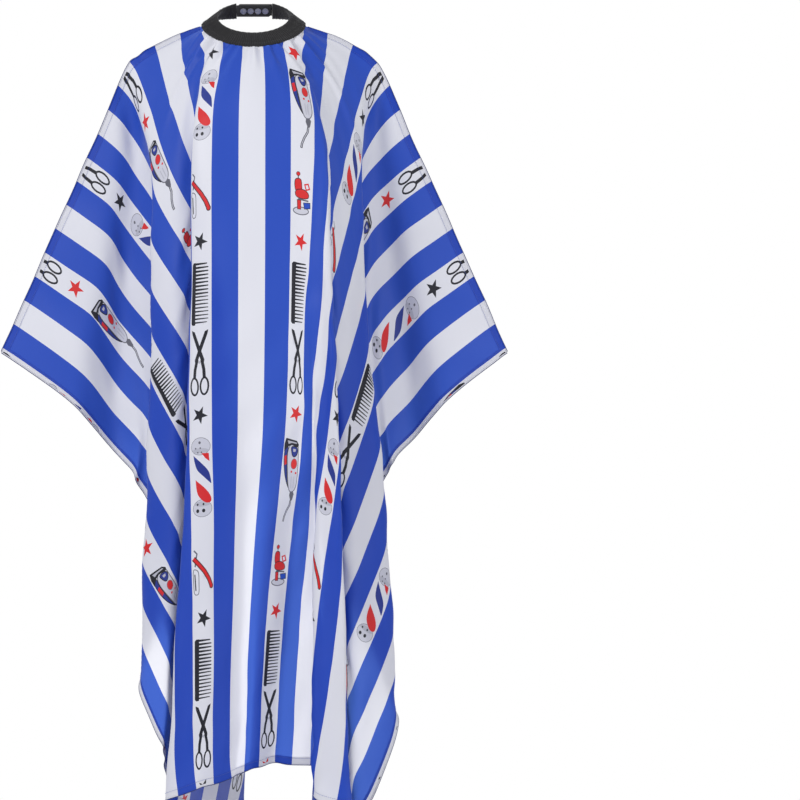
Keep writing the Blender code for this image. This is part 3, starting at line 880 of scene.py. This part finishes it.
def block_border(columns, first, last):
    """The border of a plain block of a stripe, between two rows."""
    return ([(columns[0], row * ROW) for row in range(first, last + 1)]
            + [(s, last * ROW) for s in columns[1:-1]]
            + [(columns[-1], row * ROW) for row in range(last, first - 1, -1)]
            + [(s, first * ROW) for s in columns[-2:0:-1]])


def add_stripe(flat, stripe):
    """One stripe of the cloth, with its printed motifs cut in."""
    columns = [s for s in ACROSS
               if (stripe - 0.5) * STRIPE - 1e-6 < s < (stripe + 0.5) * STRIPE + 1e-6]
    left, right = columns[0], columns[-1]
    neck = math.sqrt(max(NOTCH ** 2 - min(abs(left), abs(right)) ** 2, 0.0))
    low = (left + PRINT_EDGE, neck + PRINT_END)
    high = (right - PRINT_EDGE, LENGTH - PRINT_END)
    ground = stripe_colour(stripe)
    row = 0
    for first, last, outlines in print_spans(stripe, low, high):
        flat.quads(columns, range(row, first), ground)
        inner = [(s, r * ROW) for r in range(first + 1, last) for s in columns[1:-1]]
        if first == 0 and abs(stripe) <= YOKE_STRIPES:
            border = yoke_border(left, right, columns, last)
            inner = [p for p in inner if math.hypot(*p) > YOKE_REACH]
            inner += yoke_points(left, right)
        else:
            border = block_border(columns, first, last)
        flat.cut_block(border, inner, outlines, ground)
        row = last
    flat.quads(columns, range(row, DOWN_ROWS), ground)


def build_cape_mesh():
    flat = FlatMesh()
    for stripe in sorted({stripe_at((a + b) / 2) for a, b in zip(ACROSS, ACROSS[1:])}):
        add_stripe(flat, stripe)
    return flat


def add_mesh(name, points, faces, materials, face_materials=None, flat_places=None, smooth=True):
    mesh = bpy.data.meshes.new(name)
    mesh.from_pydata(np.asarray(points).tolist(), [], faces)
    for surface in materials:
        mesh.materials.append(surface)
    if face_materials is not None:
        mesh.polygons.foreach_set("material_index", face_materials)
    if flat_places is not None:
        layer = mesh.uv_layers.new(name="flat")
        corner = np.empty(len(mesh.loops), int)
        mesh.loops.foreach_get("vertex_index", corner)
        layer.data.foreach_set("uv", np.asarray(flat_places, float)[corner].ravel())
    if smooth:
        mesh.shade_smooth()
    mesh.update()
    obj = bpy.data.objects.new(name, mesh)
    bpy.context.scene.collection.objects.link(obj)
    return obj


def build_cape():
    flat = build_cape_mesh()
    cape = add_mesh("cape_cloth", laid(flat.places), flat.faces, list(PRINT.values()),
                    flat.colours, flat.places)
    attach(cape, "cape")
    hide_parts("cape_panel")
    return cape


# ---------------------------------------------------------------- hems and their stitching
HEM_WIDTH = 0.012
HEM_SECTION = ((0.0009, 0.00030), (-0.0005, 0.00050), (-0.0010, -0.00010), (-0.0005, -0.00100),
               (0.0036, -0.00105), (0.00725, -0.00105), (HEM_WIDTH, -0.00110),
               (HEM_WIDTH + 0.0003, -0.00065), (HEM_WIDTH, -0.00030), (0.00725, -0.00025),
               (0.0036, -0.00025), (0.0004, -0.00025), (0.0004, 0.00005))
STITCH_INSET = 0.0100
STITCH_LENGTH = 0.0026
STITCH_GAP = 0.0008
STITCH_RADIUS = 0.00022
EDGE_THREAD_RADIUS = 0.00065
EDGE_THREAD_INSET = -0.0014
SLANTED = np.array([0.31, 0.52, 0.79])      # a direction that no thread runs along


def edge_point(edge, inward, inset, off):
    """A place near the cloth's edge; a negative inset is outside it."""
    edge, inward = np.asarray(edge, float), np.asarray(inward, float)
    if inset >= 0:
        return laid(edge + inward * inset, off)
    at = laid(edge, off)
    out = at - laid(edge + inward * 0.003, off)
    return at + out / np.linalg.norm(out, axis=1, keepdims=True) * -inset


def straight_edges():
    """The five finished edges: name, flat points along the edge, and the inward direction."""
    rows = np.arange(0, DOWN_ROWS + 1) * ROW
    across = np.array(ACROSS)
    right_top = across[across > NOTCH + 0.004]
    edges = []
    for side, word in ((-1, "left"), (1, "right")):
        top = np.stack([side * right_top, np.zeros(len(right_top))], 1)
        edges.append(("top_hem_" + word, top, (0.0, 1.0)))
        down = np.stack([np.full(len(rows), side * HALF_WIDTH), rows], 1)
        edges.append(("side_hem_" + word, down, (-side, 0.0)))
    front = np.stack([across, np.full(len(across), LENGTH)], 1)
    edges.append(("front_hem", front, (0.0, -1.0)))
    return edges


def ring_tube(rings):
    """Faces that join rings of points, one ring after another, and close both ends."""
    count = len(rings[0])
    faces = []
    for ring in range(len(rings) - 1):
        for side in range(count):
            after = (side + 1) % count
            faces.append([ring * count + side, ring * count + after,
                          (ring + 1) * count + after, (ring + 1) * count + side])
    faces.append(list(range(count))[::-1])
    faces.append([(len(rings) - 1) * count + side for side in range(count)])
    return faces


def build_hem(name, edge, inward):
    inward_lines = np.tile(np.array(inward), (len(edge), 1))
    ring_points = [edge_point(edge, inward_lines, inset, off) for inset, off in HEM_SECTION]
    points = np.stack(ring_points, 1).reshape(-1, 3)
    faces = ring_tube([HEM_SECTION] * len(edge))
    count = len(HEM_SECTION)
    colours = []
    for ring in range(len(edge) - 1):
        middle = (edge[ring] + edge[ring + 1]) / 2
        for side in range(count):
            inset = (HEM_SECTION[side][0] + HEM_SECTION[(side + 1) % count][0]) / 2
            place = middle + np.array(inward) * max(inset, 0.0001)
            colours.append(PRINT_NAMES.index(stripe_colour(stripe_at(place[0]))))
    colours += [PRINT_NAMES.index("blue")] * 2
    flat = np.stack([edge + inward_lines * max(inset, 0) for inset, _ in HEM_SECTION], 1)
    hem = add_mesh(name + "_turned", points, faces, list(PRINT.values()), colours,
                   flat.reshape(-1, 2))
    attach(hem, "cape")
    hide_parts(name)
    return hem


def add_tube(points_list, faces_list, path, radius, sides):
    """Append a round tube along a path to growing lists of points and faces."""
    path = np.asarray(path, float)
    ahead = np.gradient(path, axis=0)
    ahead /= np.maximum(np.linalg.norm(ahead, axis=1, keepdims=True), 1e-12)
    normals = np.cross(ahead, SLANTED)
    normals /= np.linalg.norm(normals, axis=1, keepdims=True)
    beside = np.cross(ahead, normals)
    start = sum(len(p) for p in points_list)
    ring = [2 * math.pi * side / sides for side in range(sides)]
    tube = np.stack([path + radius * (math.cos(a) * normals + math.sin(a) * beside)
                     for a in ring], 1)
    points_list.append(tube.reshape(-1, 3))
    faces_list += [[start + index for index in face] for face in ring_tube([ring] * len(path))]


def flat_path(edge, step):
    """A flat polyline resampled at an even step."""
    edge = np.asarray(edge, float)
    run = np.r_[0, np.cumsum(np.linalg.norm(np.diff(edge, axis=0), axis=1))]
    even = np.arange(0, run[-1], step)
    return np.stack([np.interp(even, run, edge[:, 0]), np.interp(even, run, edge[:, 1])], 1)


def build_threads(edges):
    """The row of stitches inside every hem, and the overcast thread along its very edge."""
    stitch_points, stitch_faces = [], []
    edge_points, edge_faces = [], []
    for _, edge, inward in edges:
        inward = np.array(inward)
        starts = flat_path(edge, STITCH_LENGTH + STITCH_GAP)[2:-2]
        direction = edge[1] - edge[0]
        direction = direction / np.linalg.norm(direction)
        base = starts + inward * STITCH_INSET
        steps = np.linspace(0, STITCH_LENGTH, 4)
        rises = (0.0, 0.00032, 0.00032, 0.0)
        runs = np.stack([laid(base + direction * along, rise)
                         for along, rise in zip(steps, rises)], 1)
        for run in runs:
            add_tube(stitch_points, stitch_faces, run, STITCH_RADIUS, 4)
        dense = flat_path(edge, 0.004)
        turned = np.tile(inward, (len(dense), 1))
        path = edge_point(dense, turned, EDGE_THREAD_INSET, -0.0002)
        add_tube(edge_points, edge_faces, path, EDGE_THREAD_RADIUS, 6)
    stitches = add_mesh("hem_stitches", np.vstack(stitch_points), stitch_faces, [THREAD])
    overcast = add_mesh("hem_edge_thread", np.vstack(edge_points), edge_faces, [EDGE_THREAD])
    for piece in (stitches, overcast):
        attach(piece, "cape")
    return [stitches, overcast]


# ---------------------------------------------------------------- neckband
LOW_TURN = math.pi - math.asin(BAND_END_X / LOW_HALF[0])
HIGH_TURN = math.pi - math.asin(BAND_END_X / HIGH_HALF[0])
BAND_COLUMNS = 900
RIB_COUNT = 118
RIB_SWELL = 0.00062
SLOW_SWELL = 0.00030
SEAM_SHARE = 0.845              # where the seam runs, as a share of the way down the band
SEAM_STITCHES = 171
# (share of the way down the band, offset, how much the ribs show)
CASING_SECTION = ((0.00, 0.0000, 0.3), (-0.02, 0.0012, 0.7), (0.05, 0.0022, 1.0),
                  (0.20, 0.0026, 1.0), (0.40, 0.0027, 1.0), (0.60, 0.0027, 1.0),
                  (0.78, 0.0026, 1.0), (0.84, 0.0020, 0.6), (0.90, 0.0025, 1.0),
                  (1.12, 0.0024, 1.0), (1.17, 0.0010, 0.6), (1.12, -0.0012, 0.4),
                  (0.85, -0.0020, 0.5), (0.60, -0.0023, 0.6), (0.40, -0.0023, 0.6),
                  (0.15, -0.0022, 0.6), (0.02, -0.0014, 0.4))


def band_points(places, share, offset, drop=0.0):
    """Points of the band: places from -1 to 1 around it, share from its top to its low edge."""
    high, low = band_high(places * HIGH_TURN), band_low(places * LOW_TURN)
    down = low - high
    width = np.linalg.norm(down, axis=1, keepdims=True)
    along = np.gradient(high + low, axis=0)
    normal = np.cross(down, along)
    normal /= np.linalg.norm(normal, axis=1, keepdims=True)
    share = np.broadcast_to(share, places.shape)[:, None]
    offset = np.broadcast_to(offset, places.shape)[:, None]
    return high + down * share + down / width * np.reshape(drop, (-1, 1)) + normal * offset


def build_casing():
    places = np.linspace(-1, 1, BAND_COLUMNS)
    wander = 0.9 * np.sin(11 * places) + 0.6 * np.sin(29 * places + 1.0)
    ribs = np.cos(math.pi * RIB_COUNT * places + wander)
    slow = np.sin(math.pi * 31 * places + 2.0 * np.sin(7 * places))
    rings = []
    for share, offset, shown in CASING_SECTION:
        side = 1 if offset >= 0 else -1
        lean = 0.6 * math.sin(7 * share)
        turned = np.cos(math.pi * RIB_COUNT * places + wander + lean)
        swell = (RIB_SWELL * turned + SLOW_SWELL * slow) * shown * side
        drop = 0.0007 * ribs * slow if share > 0.95 else 0.00025 * ribs if share < 0.05 else 0.0
        drop = np.broadcast_to(drop, places.shape)
        rings.append(band_points(places, share, offset + swell, drop))
    points = np.stack(rings, 1).reshape(-1, 3)
    casing = add_mesh("neckband_casing", points, ring_tube([CASING_SECTION] * BAND_COLUMNS),
                      [CASING])
    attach(casing, "cape")
    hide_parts("neckband_outer_ply", "neckband_inner_ply")

    elastic_section = [(0.16, -0.0007)] + [(0.16 + 0.04 * step, 0.0007 + 0.00015 * (step % 2))
                                           for step in range(16)] + [(0.76, -0.0007)]
    turns = np.linspace(-0.985, 0.985, 241)
    rings = [band_points(turns, share, offset) for share, offset in elastic_section]
    elastic = add_mesh("neckband_elastic_strip", np.stack(rings, 1).reshape(-1, 3),
                       ring_tube([elastic_section] * len(turns)), [ELASTIC])
    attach(elastic, "cape")
    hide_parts("neckband_elastic")

    seam_points, seam_faces = [], []
    for start in np.linspace(-0.97, 0.97, SEAM_STITCHES):
        run = np.array([start, start + 0.002, start + 0.0045, start + 0.0065])
        rises = np.array([0.0016, 0.0024, 0.0024, 0.0016])
        path = band_points(run, SEAM_SHARE, rises)
        add_tube(seam_points, seam_faces, path, 0.00025, 4)
    seam = add_mesh("neckband_seam_stitches", np.vstack(seam_points), seam_faces, [BLACK_THREAD])
    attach(seam, "cape")


# ---------------------------------------------------------------- snap closure
TAB_HALF_WIDTH = 0.0100
TAB_HALF_THICK = 0.0008
TAB_STITCH_INSET = 0.0022
TAB_STITCH_PITCH = 0.0026
TAB_STITCH_LENGTH = 0.0019
TAB_THREAD_RADIUS = 0.00020
ROOT_ROW = 0.004                # from the end row of stitches to the second row
THREAD_RISE = (-0.0001, 0.00018, 0.00018, -0.0001)


def restyle(names, surface):
    """Give CAD nodes a finished material in place of their plain one."""
    for name in names:
        node = frame["nodes"][name]
        node.data.materials.clear()
        node.data.materials.append(surface)


def node_frame(name):
    """Centre, length direction, width direction and thickness direction of a flat tab."""
    low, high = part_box(name)
    points = np.array([v.co for v in frame["nodes"][name].data.vertices], float)
    centre = (points.min(0) + points.max(0)) / 2
    axis = np.array(frame["joints"][0]["axis"], float)
    along = np.array([1.0, 0.0, 0.0])
    width = axis / np.linalg.norm(axis)
    thick = np.cross(width, along)
    return centre, along * (high.x - low.x) / 2, width, thick


def build_tab_stitches(name, body):
    """Thread around the tab's edge on both faces, and a second row across its root."""
    centre, along, width, thick = node_frame(name)
    half_length = float(np.linalg.norm(along)) - TAB_STITCH_INSET
    along = along / np.linalg.norm(along)
    half_width = TAB_HALF_WIDTH - TAB_STITCH_INSET
    root = 1 if name == "outer_tab" else -1
    corners = [(-half_length, -half_width), (half_length, -half_width),
               (half_length, half_width), (-half_length, half_width), (-half_length, -half_width)]
    second = root * (half_length - ROOT_ROW)
    rows = [corners, [(second, -half_width), (second, half_width)]]
    points, faces = [], []
    for row in rows:
        for place in stitch_runs(row):
            for face_side in (-1, 1):
                run = np.array([centre + along * u + width * v
                                + thick * face_side * (TAB_HALF_THICK + rise)
                                for (u, v), rise in zip(place, THREAD_RISE)])
                add_tube(points, faces, run, TAB_THREAD_RADIUS, 4)
    stitches = add_mesh(name + "_stitches", np.vstack(points), faces, [TAB_THREAD])
    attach(stitches, body)


def stitch_runs(corners):
    """Four points along each stitch of a row that follows the corners."""
    runs = []
    for start, end in zip(corners, corners[1:]):
        start, end = np.array(start), np.array(end)
        length = np.linalg.norm(end - start)
        unit = (end - start) / length
        for step in range(int(length / TAB_STITCH_PITCH)):
            first = start + unit * (step * TAB_STITCH_PITCH + 0.0003)
            runs.append([first + unit * TAB_STITCH_LENGTH * share
                         for share in (0, 1 / 3, 2 / 3, 1)])
    return runs


# ---------------------------------------------------------------- other materials
def thread_material(name, colour):
    made, tree, shader = new_material(name, colour, 0.6)
    uneven_roughness(tree, shader, 400.0, 0.45, 0.75)
    return made


def knitted_black(name, colour, scale, roughness):
    """Black cloth with a fine knit and a little fluff."""
    made, tree, shader = new_material(name, colour, roughness)
    shader.inputs["Sheen Weight"].default_value = 0.25
    shader.inputs["Sheen Roughness"].default_value = 0.5
    shader.inputs["Specular IOR Level"].default_value = 0.25
    place = tree.nodes.new("ShaderNodeTexCoord")
    knit = tree.nodes.new("ShaderNodeTexVoronoi")
    knit.inputs["Scale"].default_value = scale
    tree.links.new(place.outputs["Object"], knit.inputs["Vector"])
    bump(tree, shader, knit.outputs["Distance"], 0.5, 0.0003)
    uneven_roughness(tree, shader, 120.0, roughness - 0.1, roughness + 0.1)
    return made


def snap_metal():
    made, tree, shader = new_material("nickel_plate", (0.62, 0.61, 0.58), 0.28, 1.0)
    place = tree.nodes.new("ShaderNodeTexCoord")
    noise = tree.nodes.new("ShaderNodeTexNoise")
    noise.inputs["Scale"].default_value = 900.0
    tree.links.new(place.outputs["Object"], noise.inputs["Vector"])
    bump(tree, shader, noise.outputs["Fac"], 0.12, 0.0002)
    uneven_roughness(tree, shader, 300.0, 0.2, 0.38)
    return made


THREAD = thread_material("hem_thread_blue", (0.10, 0.16, 0.52))
EDGE_THREAD = thread_material("edge_thread_navy", (0.020, 0.030, 0.14))
BLACK_THREAD = thread_material("band_thread_black", (0.030, 0.030, 0.032))
TAB_THREAD = thread_material("tab_thread", (0.07, 0.07, 0.075))
CASING = knitted_black("casing_knit", (0.020, 0.019, 0.020), 1500.0, 0.8)
ELASTIC = knitted_black("elastic_weave", (0.035, 0.033, 0.033), 900.0, 0.8)
WEBBING = knitted_black("tab_webbing", (0.024, 0.023, 0.024), 1100.0, 0.75)
METAL = snap_metal()

cape_cloth = build_cape()
finished_edges = straight_edges()
hems = [build_hem(name, edge, inward) for name, edge, inward in finished_edges]
threads = build_threads(finished_edges)
build_casing()
restyle(("inner_tab", "outer_tab"), WEBBING)
restyle([name for name in frame["nodes"] if name.startswith(("stud", "socket"))], METAL)
build_tab_stitches("inner_tab", "cape")
build_tab_stitches("outer_tab", "closure_flap")


# ---------------------------------------------------------------- studio
CAMERA_DISTANCE = 14.0
VIEW_WIDTH = 1.312
AIM = Vector((0.24, 0.0, -0.62))
FLOOR_Z = -1.60
FLOOR_RADIUS = 3.3


def aimed(obj, target):
    obj.rotation_mode = "QUATERNION"
    obj.rotation_quaternion = (Vector(target) - obj.location).to_track_quat("-Z", "Y")


def build_camera():
    camera = bpy.data.objects.new("camera", bpy.data.cameras.new("camera"))
    bpy.context.scene.collection.objects.link(camera)
    camera.location = (AIM.x, -CAMERA_DISTANCE, AIM.z)
    aimed(camera, AIM)
    camera.data.sensor_width = 36.0
    camera.data.lens = 36.0 * CAMERA_DISTANCE / VIEW_WIDTH
    bpy.context.scene.camera = camera


def soft_light(name, place, target, size, power):
    light = bpy.data.objects.new(name, bpy.data.lights.new(name, "AREA"))
    bpy.context.scene.collection.objects.link(light)
    light.data.shape = "DISK"
    light.data.size = size
    light.data.energy = power
    light.location = place
    light.visible_camera = False
    aimed(light, target)


def build_studio():
    soft_light("key", (-2.6, -3.4, 1.4), (0, 0, -0.6), 1.6, 86)
    soft_light("fill", (3.2, -2.6, 0.0), (0, 0, -0.7), 2.4, 36)
    soft_light("back", (0.3, 2.2, -1.5), (0.05, 0, -0.95), 1.6, 12)
    world = bpy.data.worlds.new("studio")
    bpy.context.scene.world = world
    world.use_nodes = True
    tree = world.node_tree
    lit = tree.nodes["Background"]
    lit.inputs["Color"].default_value = (0.93, 0.95, 1.0, 1.0)
    lit.inputs["Strength"].default_value = 0.55
    seen = tree.nodes.new("ShaderNodeBackground")
    seen.inputs["Color"].default_value = (1.0, 1.0, 1.0, 1.0)
    seen.inputs["Strength"].default_value = 1.0
    ray = tree.nodes.new("ShaderNodeLightPath")
    either = tree.nodes.new("ShaderNodeMixShader")
    tree.links.new(ray.outputs["Is Camera Ray"], either.inputs[0])
    tree.links.new(lit.outputs[0], either.inputs[1])
    tree.links.new(seen.outputs[0], either.inputs[2])
    tree.links.new(either.outputs[0], tree.nodes["World Output"].inputs["Surface"])

    floor_points = [(FLOOR_RADIUS * math.cos(math.radians(angle)),
                     FLOOR_RADIUS * math.sin(math.radians(angle)), FLOOR_Z)
                    for angle in range(0, 360, 5)]
    paint, tree, shader = new_material("pale_floor", (0.86, 0.86, 0.87), 0.8)
    uneven_roughness(tree, shader, 4.0, 0.75, 0.9)
    floor = add_mesh("floor", floor_points, [list(range(len(floor_points)))], [paint], smooth=False)
    bpy.context.scene.view_settings.view_transform = "Standard"


build_camera()
build_studio()
